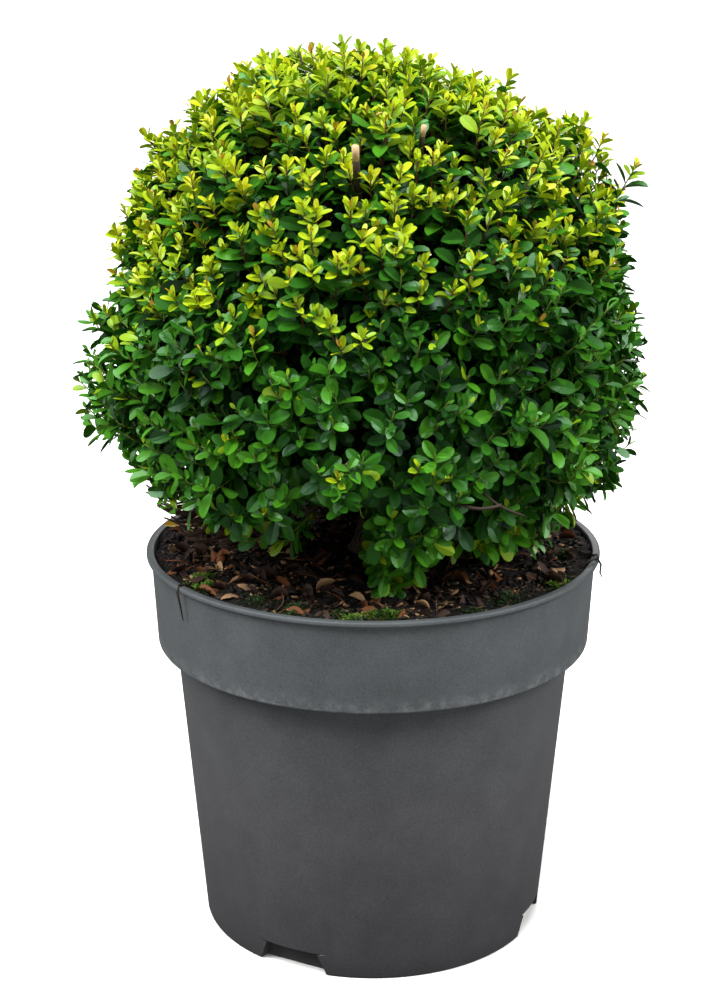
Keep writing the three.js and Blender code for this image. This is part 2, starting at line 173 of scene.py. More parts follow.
def pottingMix():
    look = mixFinish
    material, tree, shader = newMaterial("damp potting mix", look["wet"], 0.85, 1.35)
    place = addNode(tree, "TexCoord", {}).outputs["Object"]
    drift = addNode(tree, "TexNoise", {"Vector": place, "Scale": 1000 / look["driftMm"], "Detail": 5})
    tone = addNode(tree, "MapRange", {"Value": drift, "From Min": 0.38, "From Max": 0.66})
    base = addNode(tree, "Mix", {
        0: tone, 6: hexColour(look["wet"]), 7: hexColour(look["dry"])}, data_type="RGBA")
    fine = addNode(tree, "TexNoise", {
        "Vector": place, "Scale": 1000 / look["fibreMm"], "Detail": 3, "Distortion": 1.5})
    pale = addNode(tree, "MapRange", {"Value": fine, "From Min": 0.6, "From Max": 0.72, "To Max": 0.7})
    colour = addNode(tree, "Mix", {
        0: pale, 6: base.outputs[2], 7: hexColour(look["fibre"])}, data_type="RGBA")
    crumbs = addNode(tree, "TexVoronoi", {"Vector": place, "Scale": 1000 / look["crumbMm"]})
    relief = addNode(tree, "Bump", {"Strength": 0.7, "Distance": look["relief"], "Height": crumbs})
    setInputs(tree, shader, {"Base Color": colour.outputs[2], "Normal": relief})
    return material


# Holly bark: thin, grey-brown, with pale pores and fine cracks along the stem.
barkFinish = {"crack": "#2c2219", "bark": "#5b4c3b", "pale": "#84745d", "plateMm": 2.4, "stretch": 0.35,
              "relief": 0.0006}


def hollyBark():
    look = barkFinish
    material, tree, shader = newMaterial("holly bark", look["bark"], 0.8, 1.45)
    place = addNode(tree, "TexCoord", {}).outputs["Object"]
    along = addNode(tree, "Mapping", {"Vector": place, "Scale": (1, 1, look["stretch"])})
    plates = addNode(tree, "TexNoise", {
        "Vector": along, "Scale": 1000 / look["plateMm"], "Detail": 5, "Roughness": 0.65})
    tones = addNode(tree, "ValToRGB", {0: plates})
    ramp = tones.color_ramp.elements
    ramp[0].position, ramp[0].color = 0.35, hexColour(look["crack"])
    ramp[1].position, ramp[1].color = 0.7, hexColour(look["pale"])
    ramp.new(0.5).color = hexColour(look["bark"])
    relief = addNode(tree, "Bump", {"Strength": 0.5, "Distance": look["relief"], "Height": plates})
    setInputs(tree, shader, {"Base Color": tones, "Normal": relief})
    return material


# Pieces, from shapes and for the many small things from arrays

def dressed(name, mesh, material, replaced=()):
    piece = bpy.data.objects.new(name, mesh)
    scene.collection.objects.link(piece)
    mesh.materials.append(material)
    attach(piece, "root")
    if replaced:
        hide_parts(*replaced)


def meshFromArrays(name, vertices, faceGroups):
    mesh = bpy.data.meshes.new(name)
    sizes = np.concatenate([np.full(len(faces), faces.shape[1]) for faces in faceGroups])
    corners = np.concatenate([faces.ravel() for faces in faceGroups])
    mesh.vertices.add(len(vertices))
    mesh.vertices.foreach_set("co", np.ascontiguousarray(vertices, np.float32).ravel())
    mesh.loops.add(len(corners))
    mesh.loops.foreach_set("vertex_index", corners.astype(np.int32))
    mesh.polygons.add(len(sizes))
    mesh.polygons.foreach_set("loop_start", np.concatenate([[0], np.cumsum(sizes)[:-1]]).astype(np.int32))
    mesh.polygons.foreach_set("use_smooth", np.ones(len(sizes), bool))
    mesh.update(calc_edges=True)
    mesh.validate()
    return mesh


def dressedArrays(name, arrays, material, replaced=()):
    mesh = meshFromArrays(name, *arrays)
    dressed(name, mesh, material, replaced)
    return mesh


def meshFromShape(name, shape):
    mesh = bpy.data.meshes.new(name)
    shape.to_mesh(mesh)
    shape.free()
    return mesh


def chainOf(shape, places):
    chain = [shape.verts.new(place) for place in places]
    for a, b in zip(chain, chain[1:]):
        shape.edges.new((a, b))
    return chain


# Turns a chain of vertices round the pot's axis into a closed skin
def spun(shape, steps):
    bmesh.ops.spin(shape, geom=shape.verts[:] + shape.edges[:], cent=(0, 0, 0), axis=(0, 0, 1),
                   angle=2 * math.pi, steps=steps, use_merge=True)
    bmesh.ops.remove_doubles(shape, verts=shape.verts[:], dist=0.00002)
    bmesh.ops.recalc_face_normals(shape, faces=shape.faces[:])


def unit(vectors):
    return vectors / np.maximum(np.linalg.norm(vectors, axis=-1, keepdims=True), 1e-12)


# A vector square to each given direction, taken from the axis that leans on it least
def squareTo(directions, guides=None):
    guides = directions if guides is None else guides
    axes = np.eye(3)[np.argmin(np.abs(guides), axis=-1)]
    return unit(np.cross(axes, directions))


# Many round limbs: points is (limbs, rings, 3) and radii (limbs, rings)
def tubeArrays(points, radii, sides):
    count, rings = points.shape[:2]
    tangents = unit(np.gradient(points, axis=1))
    chords = np.repeat((points[:, -1] - points[:, 0])[:, None], rings, axis=1)
    across = squareTo(tangents, chords)
    rise = np.cross(tangents, across)
    turns = 2 * np.pi * np.arange(sides) / sides
    spokes = (np.cos(turns)[:, None] * across[:, :, None] + np.sin(turns)[:, None] * rise[:, :, None])
    vertices = (points[:, :, None] + radii[:, :, None, None] * spokes).reshape(-1, 3)
    ring = np.arange(sides)
    following = (ring + 1) % sides
    wall = np.stack([ring, following, following + sides, ring + sides], axis=1)
    starts = (np.arange(count)[:, None] * rings + np.arange(rings - 1)) * sides
    walls = (starts.reshape(-1, 1, 1) + wall).reshape(-1, 4)
    first = np.arange(count)[:, None] * rings * sides
    roots = first + ring[::-1]
    tips = first + (rings - 1) * sides + ring
    return vertices, [walls, roots, tips]


def joinedArrays(parts):
    vertices, groups, start = [], [], 0
    for own, faces in parts:
        vertices.append(own)
        groups += [face + start for face in faces]
        start += len(own)
    return np.concatenate(vertices), groups


# Many copies of one blade or flake, each with its own frame and sizes
def scatteredArrays(template, roots, along, face, sizes, bends):
    side = np.cross(along, face)
    lengths, widths = sizes
    cups, curls = bends
    x, z = template["along"], template["across"]
    lift = cups[:, None] * template["fold"] + curls[:, None] * template["curl"]
    vertices = (roots[:, None]
                + along[:, None] * (lengths[:, None] * x)[..., None]
                + side[:, None] * (widths[:, None] * z)[..., None]
                + face[:, None] * (lengths[:, None] * lift)[..., None])
    offsets = (np.arange(len(roots)) * len(x))[:, None, None]
    groups = [(offsets + faces).reshape(-1, faces.shape[1]) for faces in template["faces"]]
    return vertices.reshape(-1, 3), groups


# A blade with a ridge, from its root along x, tapered to its root and round at its tip. Its edges rise
# with the cup, and its tip drops with the curl.
def bladeTemplate(stations, widest, roundness):
    s = np.array(stations)
    beyond = np.clip((s - widest) / (1 - widest), 0, 1)
    half = np.where(s < widest, np.sin(np.pi / 2 * s / widest) ** 0.9, np.sqrt(1 - beyond ** roundness)) / 2
    rows = len(s)
    along = np.concatenate([[0], np.repeat(s, 3), [1]])
    across = np.concatenate([[0], np.stack([-half, 0 * half, half], 1).ravel(), [0]])
    left = 1 + 3 * np.arange(rows)
    quads = []
    for i in range(rows - 1):
        a, b = left[i], left[i + 1]
        quads += [[a, a + 1, b + 1, b], [a + 1, a + 2, b + 2, b + 1]]
    first, last, tip = left[0], left[-1], 1 + 3 * rows
    fans = [[0, first + 1, first], [0, first + 2, first + 1],
            [last, last + 1, tip], [last + 1, last + 2, tip]]
    return {"along": along, "across": across, "fold": np.abs(across), "curl": -along ** 2,
            "faces": [np.array(quads), np.array(fans)], "midrib": np.concatenate([[0], left + 1, [tip]])}


# Keeps the line of each blade's midrib crisp
def creaseMidribs(mesh, template):
    ends = np.empty(2 * len(mesh.edges), np.int32)
    mesh.edges.foreach_get("vertices", ends)
    onMidrib = np.isin(ends % len(template["along"]), template["midrib"]).reshape(-1, 2).all(axis=1)
    mesh.edges.foreach_set("use_edge_sharp", onMidrib)


# Pot

pot = {
    "height": 0.243, "rim": 0.140, "lip": 0.003, "collarHeight": 0.058, "collarTop": 0.137,
    "collarFoot": 0.134, "wallTop": 0.123, "foot": 0.107, "wall": 0.002, "floor": 0.003, "steps": 198,
    "sharpAngle": 32,
    "rounding": {"foot": 0.0016, "edge": 0.0012, "underLip": 0.0004, "lip": 0.0009, "inside": 0.001,
                 "floor": 0.0005},
}
# each drain recess has its like on the opposite side
drain = {"azimuths": (-27.5, 71), "width": 0.047, "headWidth": 0.035, "height": 0.014, "back": 0.098,
         "sideWall": 0.0008, "ease": 0.0006}
collarBase = pot["height"] - pot["collarHeight"]


def flatDirection(azimuth):
    return Vector((math.sin(math.radians(azimuth)), -math.cos(math.radians(azimuth)), 0))


def wallRadius(z):
    return pot["foot"] + (pot["wallTop"] - pot["foot"]) * z / collarBase


# Corners as (radius, height, rounding), up the outside, over the lip and down the inside. Two close
# rings on each skin hold the head of the drain recesses.
def potProfile():
    edge, ease = pot["rounding"], drain["ease"]
    lipUnder, inner, head = pot["height"] - pot["lip"], pot["wall"], drain["height"]
    return [
        (0, 0, 0),
        (pot["foot"], 0, edge["foot"]),
        (wallRadius(head - ease), head - ease, 0),
        (wallRadius(head + ease), head + ease, 0),
        (pot["wallTop"], collarBase, edge["edge"]),
        (pot["collarFoot"], collarBase, edge["foot"]),
        (pot["collarTop"], lipUnder - ease, edge["underLip"]),
        (pot["rim"], lipUnder, edge["lip"]),
        (pot["rim"], pot["height"], edge["edge"]),
        (pot["collarTop"] - inner, pot["height"], edge["edge"]),
        (pot["collarFoot"] - inner, collarBase + inner, edge["inside"]),
        (pot["wallTop"] - inner, collarBase + inner, edge["inside"]),
        (wallRadius(head + 2 * inner) - inner, head + 2 * inner, 0),
        (wallRadius(head + inner) - inner, head + inner - ease, 0),
        (pot["foot"] - inner, pot["floor"], edge["floor"]),
        (0, pot["floor"], 0),
    ]


def roundedCorners(shape, corners):
    for radius in sorted({r for _, r in corners if r}, reverse=True):
        chosen = [vertex for vertex, r in corners if r == radius]
        bmesh.ops.bevel(shape, geom=chosen, offset=radius, offset_type="OFFSET", affect="VERTICES",
                        segments=4, profile=0.5, material=-1)


# A drain recess takes the wall at its foot back to a flat face. The columns of vertices at its edges
# stay on the wall, and the columns inside them go back.
def pressDrain(shape, azimuth, column):
    outward = flatDirection(azimuth)
    tangent = Vector((0, 0, 1)).cross(outward)
    for vertex in shape.verts:
        margin = pot["wall"] if vertex.tag else 0
        foot, head = drain["width"] / 2 + margin, drain["headWidth"] / 2 + margin
        top = drain["height"] + margin
        deep, off, z = vertex.co.dot(outward), vertex.co.dot(tangent), vertex.co.z
        if z > top or deep < drain["back"] - margin or abs(off) > foot + column / 2:
            continue
        edge = foot + (head - foot) * z / top
        inside = foot - abs(off)
        if inside < column / 2:
            place, deep = edge, math.sqrt(deep * deep + off * off - edge * edge)
        else:
            within = edge - drain["sideWall"]
            place = within if inside < column * 1.5 else abs(off) * within / foot
            deep = min(deep, drain["back"] - margin)
        vertex.co = outward * deep + tangent * math.copysign(place, off) + Vector((0, 0, z))


def makePot():
    shape = bmesh.new()
    edgeTurn = math.degrees(math.asin(drain["width"] / 2 / pot["foot"]))
    start = flatDirection(drain["azimuths"][0] - edgeTurn)
    profile = potProfile()
    chain = chainOf(shape, [start * radius + Vector((0, 0, z)) for radius, z, _ in profile])
    roundedCorners(shape, [(vertex, rounding) for vertex, (_, _, rounding) in zip(chain, profile)])
    spun(shape, pot["steps"])
    for vertex in shape.verts:  # a tag marks the inner skin
        inside = vertex.co.xy.length < wallRadius(vertex.co.z) - pot["wall"] * 0.9
        vertex.tag = inside and vertex.co.z > pot["floor"] / 2
    column = 2 * math.pi * pot["foot"] / pot["steps"]
    for azimuth in drain["azimuths"]:
        pressDrain(shape, azimuth, column)
        pressDrain(shape, azimuth + 180, column)
    mesh = meshFromShape("pot_shell", shape)
    mesh.shade_smooth()
    mesh.set_sharp_from_angle(angle=math.radians(pot["sharpAngle"]))
    dressed("pot_shell", mesh, potPlastic(), ["pot"])
    print("pot:", len(mesh.polygons), "faces")


makePot()


# Soil, with heaps against the rim as (azimuth, spread, rise)

soil = {
    "edgeDrop": 0.0055, "edgeDepth": 0.004, "crestDrop": 0.003, "crestRadius": 0.030, "roll": 1.6,
    "sink": 0.0006, "gap": 0.0003, "rings": 84, "steps": 270, "swell": 0.0035, "swellsPerMetre": 38,
    "crumb": 0.0022, "crumbsPerMetre": (190, 420), "fineCrumbs": 0.6, "calmFrom": 0.016, "calmOver": 0.01,
    "heaps": [(80, 40, 0.0035), (-85, 50, 0.003)],
}
soilRadius = pot["collarTop"] - pot["wall"] - 2 * soil["gap"]


def soilHeight(x, y):
    radius = math.hypot(x, y)
    out = max(0.0, (radius - soil["crestRadius"]) / (soilRadius - soil["crestRadius"]))
    level = pot["height"] - soil["crestDrop"] - (soil["edgeDrop"] - soil["crestDrop"]) * out ** soil["roll"]
    calm = min(1.0, max(0.0, (radius - soil["calmFrom"]) / soil["calmOver"]))  # level at the trunk's foot
    coarse, fine = soil["crumbsPerMetre"]
    swell = noise.noise(Vector((x, y, 0.3)) * soil["swellsPerMetre"]) * soil["swell"]
    crumbs = noise.noise(Vector((x, y, 1.7)) * coarse)
    crumbs += soil["fineCrumbs"] * noise.noise(Vector((x, y, 4.1)) * fine)
    turn = math.degrees(math.atan2(x, -y))
    heap = sum(rise * out ** 2 * math.exp(-((turn - azimuth) / spread) ** 2)
               for azimuth, spread, rise in soil["heaps"])
    return level + heap + calm * (swell + crumbs * soil["crumb"]) - soil["sink"]


def makeSoil():
    shape = bmesh.new()
    gap = pot["wall"] + soil["gap"]
    bottom, shelf = pot["floor"] + soil["gap"], collarBase + gap
    aboveDrains = drain["height"] + 2 * gap
    edge = pot["height"] - soil["edgeDrop"] - soil["edgeDepth"]
    sides = [(0, bottom), (drain["back"] - gap, bottom), (drain["back"] - gap, aboveDrains),
             (wallRadius(aboveDrains) - gap, aboveDrains), (pot["wallTop"] - gap, shelf),
             (pot["collarFoot"] - gap, shelf), (soilRadius, edge)]
    top = [(soilRadius * (1 - i / soil["rings"]), pot["height"]) for i in range(soil["rings"] + 1)]
    chainOf(shape, [(0, -radius, z) for radius, z in sides + top])
    spun(shape, soil["steps"])
    for vertex in shape.verts:
        if vertex.co.z > pot["height"] - soil["gap"]:
            vertex.co.z = soilHeight(vertex.co.x, vertex.co.y)
    mesh = meshFromShape("soil_bed", shape)
    mesh.shade_smooth()
    dressed("soil_bed", mesh, pottingMix(), ["soil"])
    print("soil:", len(mesh.polygons), "faces")


makeSoil()


# What lies on the soil: bark chips, fallen leaves, fibres and moss. Room is the share of a piece's length
# that it keeps from the wall. A leaf starts at its root, so it is set back by half its length.

litter = {
    "seed": 21, "clearOfWall": 0.0015, "clearOfTrunk": 0.03, "widthRatio": (0.4, 0.7),
    "chips": {"material": "bark chip", "roughness": 0.75, "count": 2600, "outermost": 0.97, "leftward": 0,
              "length": (0.002, 0.0065), "narrower": 1, "setBack": 0, "room": 0.3, "tilt": 0.35,
              "raised": 0.0006, "cup": (0.06, 0.12), "curl": (-0.2, 0.3)},
    "fallen": {"material": "dry leaf", "roughness": 0.75, "count": 320, "outermost": 0.97, "leftward": 0.35,
               "length": (0.009, 0.0135), "narrower": 0.78, "setBack": 0.5, "room": 0.3, "tilt": 0.4,
               "raised": 0.0020, "cup": (-0.9, 1.1), "curl": (-0.5, 0.9),
               "blade": ((0.14, 0.35, 0.58, 0.8, 0.95), 0.56, 2)},
    "fibres": {"material": "root fibre", "roughness": 0.8, "count": 300, "outermost": 0.93,
               "length": (0.008, 0.026), "radius": 0.00026, "taper": (0.6, 1, 1.2, 1.2, 1, 0.5), "sides": 5,
               "room": 0.1, "tilt": 0.2, "raised": 0.0010, "sideways": (-0.4, 0.4), "upward": (0, 0.12),
               "bow": 1.4},
    "moss": {"material": "moss", "roughness": 0.7, "clumps": 16, "blades": 330, "azimuths": 48,
             "band": (0.86, 0.96), "size": 0.0050, "mound": 0.0028, "sunk": 0.0003, "lean": 150,
             "unruly": 0.5, "length": (0.0011, 0.0024), "width": 0.5, "room": 0.5, "curl": 0.3,
             "blade": ((0.3, 0.7), 0.5, 2)},
}
# Bark, dead leaves and fibres are dry and matt, and moss is fresh. Each shade with its share of the pieces
litterShades = {
    "chips": {"dark": ("#100a07", 0.55), "brown": ("#382414", 0.31), "tan": ("#a07b52", 0.14)},
    "fallen": {"rust": ("#6d3f1c", 0.26), "tan": ("#a88560", 0.21), "brown": ("#38241a", 0.53)},
    "fibres": {"dark": ("#1a110b", 0.45), "rust": ("#74431d", 0.3), "pale": ("#6f5739", 0.25)},
    "moss": {"dark": ("#1f3a0c", 0.6), "bright": ("#4f7414", 0.4)},
}
# a root that hangs over the rim at the left, and scraps of fibre on the rim at the right, as
# (azimuth, radius, height) along each
rimRoots = {
    "colour": "#1f1712", "thicker": 2.2, "sides": 6,
    "paths": [
        [(-56, 0.122, 0.236), (-55, 0.134, 0.2425), (-54.5, 0.1392, 0.2442),
         (-54, 0.1412, 0.2400), (-53.6, 0.1398, 0.2310), (-53.4, 0.1386, 0.2225)],
        [(74, 0.130, 0.238), (75, 0.1365, 0.2442), (76, 0.1400, 0.2445),
         (77, 0.1417, 0.2405), (77.5, 0.1412, 0.2345), (78.2, 0.1425, 0.2310)],
        [(71, 0.128, 0.2375), (73, 0.1345, 0.2446), (76, 0.1402, 0.2452),
         (79, 0.1385, 0.2448), (81, 0.135, 0.2425), (82, 0.130, 0.2375)],
    ],
}


def onSoil(random, look):
    count = look["count"]
    radius = soilRadius * look["outermost"] * np.sqrt(random.uniform(litter["clearOfTrunk"], 1, count))
    turn = random.uniform(0, 2 * np.pi, count)
    x, y = radius * np.cos(turn), radius * np.sin(turn)
    return np.stack([x, y, [soilHeight(a, b) for a, b in zip(x, y)]], axis=1)


def insidePot(points, lengths):
    return np.hypot(points[:, 0], points[:, 1]) + lengths < soilRadius - litter["clearOfWall"]


def lyingFrames(random, count, tilt):
    turn = random.uniform(0, 2 * np.pi, count)
    face = unit(np.stack([*(random.normal(0, tilt, (2, count))), np.ones(count)], axis=1))
    along = np.stack([np.cos(turn), np.sin(turn), np.zeros(count)], axis=1)
    along = unit(along - face * np.sum(along * face, axis=1, keepdims=True))
    return along, face


# A six-sided flake with a thickness
def flakeTemplate():
    turns = np.arange(6) * np.pi / 3
    reachOut = np.array([1, 0.8, 0.95, 1, 0.7, 0.9]) / 2
    along, across = np.tile(np.cos(turns) * reachOut, 2), np.tile(np.sin(turns) * reachOut, 2)
    ring = np.arange(6)
    walls = np.stack([ring + 6, (ring + 1) % 6 + 6, (ring + 1) % 6, ring], axis=1)
    return {"along": along, "across": across, "fold": np.repeat([-1.0, 1.0], 6), "curl": -along ** 2,
            "faces": [walls, np.array([ring, ring[::-1] + 6])]}


# Deals the pieces of one kind out to its shades by their shares and makes a mesh of each
def makeShades(random, kind, owners, arraysOf):
    look, shades = litter[kind], litterShades[kind]
    number = owners.max() + 1
    ranks = (random.permutation(number) + 0.5) / number
    dealt = np.searchsorted(np.cumsum([share for _, share in shades.values()][:-1]), ranks)[owners]
    for i, (name, (code, _)) in enumerate(shades.items()):
        material = newMaterial(f"{look['material']}, {name}", code, look["roughness"], 1.45)[0]
        dressedArrays(f"{kind}_{name}", arraysOf(dealt == i), material)


def makeFlat(random, kind, template):
    look = litter[kind]
    count = look["count"]
    spots = onSoil(random, look) + np.array([0, 0, look["raised"]])
    if look["leftward"]:  # more of them lie at the left
        spots[:, 0] *= np.where((spots[:, 0] > 0) & (random.random(count) < look["leftward"]), -1, 1)
        spots[:, 2] = [soilHeight(x, y) + look["raised"] for x, y in spots[:, :2]]
    along, face = lyingFrames(random, count, look["tilt"])
    lengths = random.uniform(*look["length"], count)
    spots = spots - along * lengths[:, None] * look["setBack"]
    ends = spots + along * lengths[:, None]
    inside = insidePot(spots, lengths * 0) & insidePot(ends, lengths * look["room"])
    widths = lengths * random.uniform(*litter["widthRatio"], count) * look["narrower"]
    cups, curls = random.uniform(*look["cup"], count), random.uniform(*look["curl"], count)
    kept = [rows[inside] for rows in (spots, along, face, lengths, widths, cups, curls)]

    def arraysOf(own):
        spots, along, face, lengths, widths, cups, curls = (rows[own] for rows in kept)
        return scatteredArrays(template, spots, along, face, (lengths, widths), (cups, curls))

    makeShades(random, kind, np.arange(inside.sum()), arraysOf)


def makeFibres(random):
    look = litter["fibres"]
    count = look["count"]
    middles = onSoil(random, look) + np.array([0, 0, look["raised"]])
    along, face = lyingFrames(random, count, look["tilt"])
    bow = (np.cross(along, face) * random.uniform(*look["sideways"], (count, 1))
           + face * random.uniform(*look["upward"], (count, 1)))
    lengths = random.uniform(*look["length"], count)
    t = np.linspace(-0.5, 0.5, len(look["taper"]))
    paths = middles[:, None] + lengths[:, None, None] * (
        along[:, None] * t[None, :, None] + bow[:, None] * (0.25 - t ** 2)[None, :, None] * look["bow"])
    room = lengths * look["room"]
    paths = paths[insidePot(paths[:, 0], room) & insidePot(paths[:, -1], room)]
    taper = np.array(look["taper"]) * look["radius"]

    def arraysOf(own):
        return tubeArrays(paths[own], np.tile(taper, (own.sum(), 1)), look["sides"])

    makeShades(random, "fibres", np.arange(len(paths)), arraysOf)
    hung = np.array([[[*(flatDirection(azimuth) * radius).xy, z] for azimuth, radius, z in path]
                     for path in rimRoots["paths"]])
    arrays = tubeArrays(hung, np.tile(taper * rimRoots["thicker"], (len(hung), 1)), rimRoots["sides"])
    material = newMaterial("damp root", rimRoots["colour"], 0.7, 1.4)[0]
    dressedArrays("roots_over_rim", arrays, material)


# Moss grows along the rim, most of it at the front
def makeMoss(random):
    look = litter["moss"]
    clumps, blades, size = look["clumps"], look["blades"], look["size"]
    turn = np.radians(random.normal(0, look["azimuths"], clumps))
    radius = soilRadius * random.uniform(*look["band"], clumps)
    spread = random.normal(0, size, (clumps, blades, 2))
    x = ((radius * np.sin(turn))[:, None] + spread[..., 0]).ravel()
    y = ((-radius * np.cos(turn))[:, None] + spread[..., 1]).ravel()
    mound = look["mound"] * np.exp(-np.sum((spread / size) ** 2, axis=2)).ravel()
    roots = np.stack([x, y, [soilHeight(a, b) - look["sunk"] for a, b in zip(x, y)] + mound], axis=1)
    lean = spread.reshape(-1, 2).T * look["lean"] + random.normal(0, look["unruly"], (2, len(x)))
    along = unit(np.stack([*lean, np.ones(len(x))], axis=1))
    lengths = random.uniform(*look["length"], len(x))
    inside = insidePot(roots, lengths * look["room"])
    owners = np.repeat(np.arange(clumps), blades)[inside]
    kept = [rows[inside] for rows in (roots, along, squareTo(along), lengths)]
    frond = bladeTemplate(*look["blade"])

    def arraysOf(own):
        roots, along, face, lengths = (rows[own] for rows in kept)
        flat = np.zeros(len(lengths))
        return scatteredArrays(frond, roots, along, face, (lengths, lengths * look["width"]),
                               (flat, flat + look["curl"]))

    makeShades(random, "moss", owners, arraysOf)


# A yellow leaf lies near the rim at the left
yellowLeaf = {"from": (-0.1325, 0.0295), "to": (-0.1235, 0.0355), "rise": 0.003, "width": 0.0064,
              "face": (0.1, -0.5, 1.0), "cup": 0.2, "curl": 0.1, "colour": "#c79f1c"}


def makeYellowLeaf(blade):
    look = yellowLeaf
    root, tip = (np.array([*look[end], soilHeight(*look[end]) + look["rise"]]) for end in ("from", "to"))
    along = unit(tip - root)[None]
    face = np.array([look["face"]])
    face = unit(face - along * np.sum(along * face))
    size = np.array([np.linalg.norm(tip - root)])
    width, cup, curl = (np.array([look[name]]) for name in ("width", "cup", "curl"))
    arrays = scatteredArrays(blade, root[None], along, face, (size, width), (cup, curl))
    dressedArrays("yellow_leaf", arrays, newMaterial("yellow leaf", look["colour"], 0.6, 1.45)[0])


def makeLitter():
    random = np.random.default_rng(litter["seed"])
    fallenBlade = bladeTemplate(*litter["fallen"]["blade"])
    makeFlat(random, "chips", flakeTemplate())
    makeFlat(random, "fallen", fallenBlade)
    makeYellowLeaf(fallenBlade)
    makeFibres(random)
    makeMoss(random)
    print("litter on the soil")


makeLitter()


# Trunk and boughs, as the solids have them, with the bark's relief

trunk = {"height": 0.046, "radius": 0.009, "tipRadius": 0.007, "flare": 0.007, "flareHeight": 0.009,
         "lean": (-0.003, 0.0015), "sides": 28, "rings": 40, "relief": 0.0006}
bough = {"tipRadius": 0.0022, "sides": 14, "rings": 36, "relief": 0.0003}
cracks = {"acrossPerMetre": 620, "alongPerMetre": 150, "finePerMetre": 900, "fine": 0.5}
crown = {
    "centre": (-0.003, 0, 0.350), "radius": 0.166, "rise": 0.197, "fall": 0.103,
    "riseSquareness": 2.3, "fallSquareness": 2.35,
}
forkRings = [
    {"count": 1, "azimuth": 0, "along": 1, "radius": 0.0048, "leaveRise": 90, "arriveRise": 90,
     "tipOut": 0.002, "tipHeight": 0.436, "swing": 0.040, "stem": 0.052},
    {"count": 5, "azimuth": 0, "along": 0.6, "radius": 0.0036, "leaveRise": 52, "arriveRise": 20,
     "tipOut": 0.068, "tipHeight": 0.372, "swing": 0.034, "stem": 0.046},
    {"count": 5, "azimuth": 36, "along": 0.35, "radius": 0.0032, "leaveRise": 50, "arriveRise": 6,
     "tipOut": 0.050, "tipHeight": 0.296, "swing": 0.020, "stem": 0.054},
]
crownCentre = np.array(crown["centre"])
crownTop = crown["centre"][2] + crown["rise"]


def direction(polar, azimuth):
    p, a = np.radians(polar), np.radians(azimuth)
    return np.stack([np.sin(p) * np.sin(a), -np.sin(p) * np.cos(a), np.cos(p) + 0 * a], axis=-1)


# How far the clipped outline lies from the crown's centre at a polar angle
def reach(polar):
    across, upward = np.sin(np.radians(polar)) / crown["radius"], np.cos(np.radians(polar))
    power = np.where(upward > 0, crown["riseSquareness"], crown["fallSquareness"])
    height = np.abs(upward) / np.where(upward > 0, crown["rise"], crown["fall"])
    return (across ** power + height ** power) ** (-1 / power)


def crownAngles(points):
    x, y, z = np.moveaxis(points - crownCentre, -1, 0)
    return np.degrees(np.arctan2(np.hypot(x, y), z)), np.degrees(np.arctan2(x, -y))


def crownPoint(polar, azimuth, share):
    return crownCentre + direction(polar, azimuth) * (reach(polar) * share)[..., None]


def bezier(corners, t):
    a, b, c, d = (np.asarray(corner)[:, None] for corner in corners)
    t = np.asarray(t)[..., None]
    return (1 - t) ** 3 * a + 3 * (1 - t) ** 2 * t * b + 3 * (1 - t) * t ** 2 * c + t ** 3 * d


trunkFoot = np.array([0, 0, pot["height"] - soil["crestDrop"] + soil["gap"]])
trunkTip = np.array([*trunk["lean"], trunkFoot[2] + trunk["height"]])
trunkMiddle = np.array([0, 0, (trunkFoot[2] + trunkTip[2]) / 2])


def trunkPoint(t):
    t = np.asarray(t)[..., None]
    return (1 - t) ** 2 * trunkFoot + 2 * (1 - t) * t * trunkMiddle + t ** 2 * trunkTip


def boughCorners(ring, azimuth):
    along = ring["along"]
    onwards = unit(trunkPoint(along) - trunkPoint(along - 0.02))
    start = trunkPoint(along)
    leaving = onwards if along == 1 else direction(90 - ring["leaveRise"], azimuth)
    arriving = direction(90 - ring["arriveRise"], azimuth)
    tip = crownCentre + direction(90, azimuth) * ring["tipOut"]
    tip[2] = ring["tipHeight"]
    return start, start + leaving * ring["swing"], tip - arriving * ring["swing"], tip


# Cracks along the limb, as a share of the relief, by place
def barkRelief(vertices, relief):
    across, upward, fine = cracks["acrossPerMetre"], cracks["alongPerMetre"], cracks["finePerMetre"]
    ridged = [noise.noise(Vector((x * across, y * across, z * upward)))
              + cracks["fine"] * noise.noise(Vector((x, y, z)) * fine) for x, y, z in vertices]
    return relief * np.array(ridged)


def relieved(points, radii, sides, relief):
    vertices, groups = tubeArrays(points[None], radii[None], sides)
    spokes = unit(vertices - np.repeat(points, sides, axis=0))
    return vertices + spokes * barkRelief(vertices, relief)[:, None], groups


def makeLimbs():
    t = np.linspace(0, 1, trunk["rings"])
    radii = (trunk["radius"] + (trunk["tipRadius"] - trunk["radius"]) * t
             + trunk["flare"] * np.exp(-t * trunk["height"] / trunk["flareHeight"]))
    parts = [relieved(trunkPoint(t), radii, trunk["sides"], trunk["relief"])]
    nodes, stems = ["trunk"], []
    names = ("leader", "side", "low")
    for ring, name in zip(forkRings, names):
        for i in range(ring["count"]):
            azimuth = ring["azimuth"] + i * 360 / ring["count"]
            corners = boughCorners(ring, azimuth)
            t = np.linspace(0, 1, bough["rings"])
            path = bezier([corner[None] for corner in corners], t[None])[0]
            radii = ring["radius"] + (bough["tipRadius"] - ring["radius"]) * t
            parts.append(relieved(path, radii, bough["sides"], bough["relief"]))
            nodes.append(f"bough_{name}_{i + 1}" if ring["count"] > 1 else f"bough_{name}")
            arriving = direction(90 - ring["arriveRise"], azimuth)
            stems.append((corners[3], arriving, ring["stem"], path))
    mesh = dressedArrays("trunk_and_boughs", joinedArrays(parts), hollyBark(), nodes)
    print("trunk and boughs:", len(mesh.polygons), "faces")
    return stems


stems = makeLimbs()


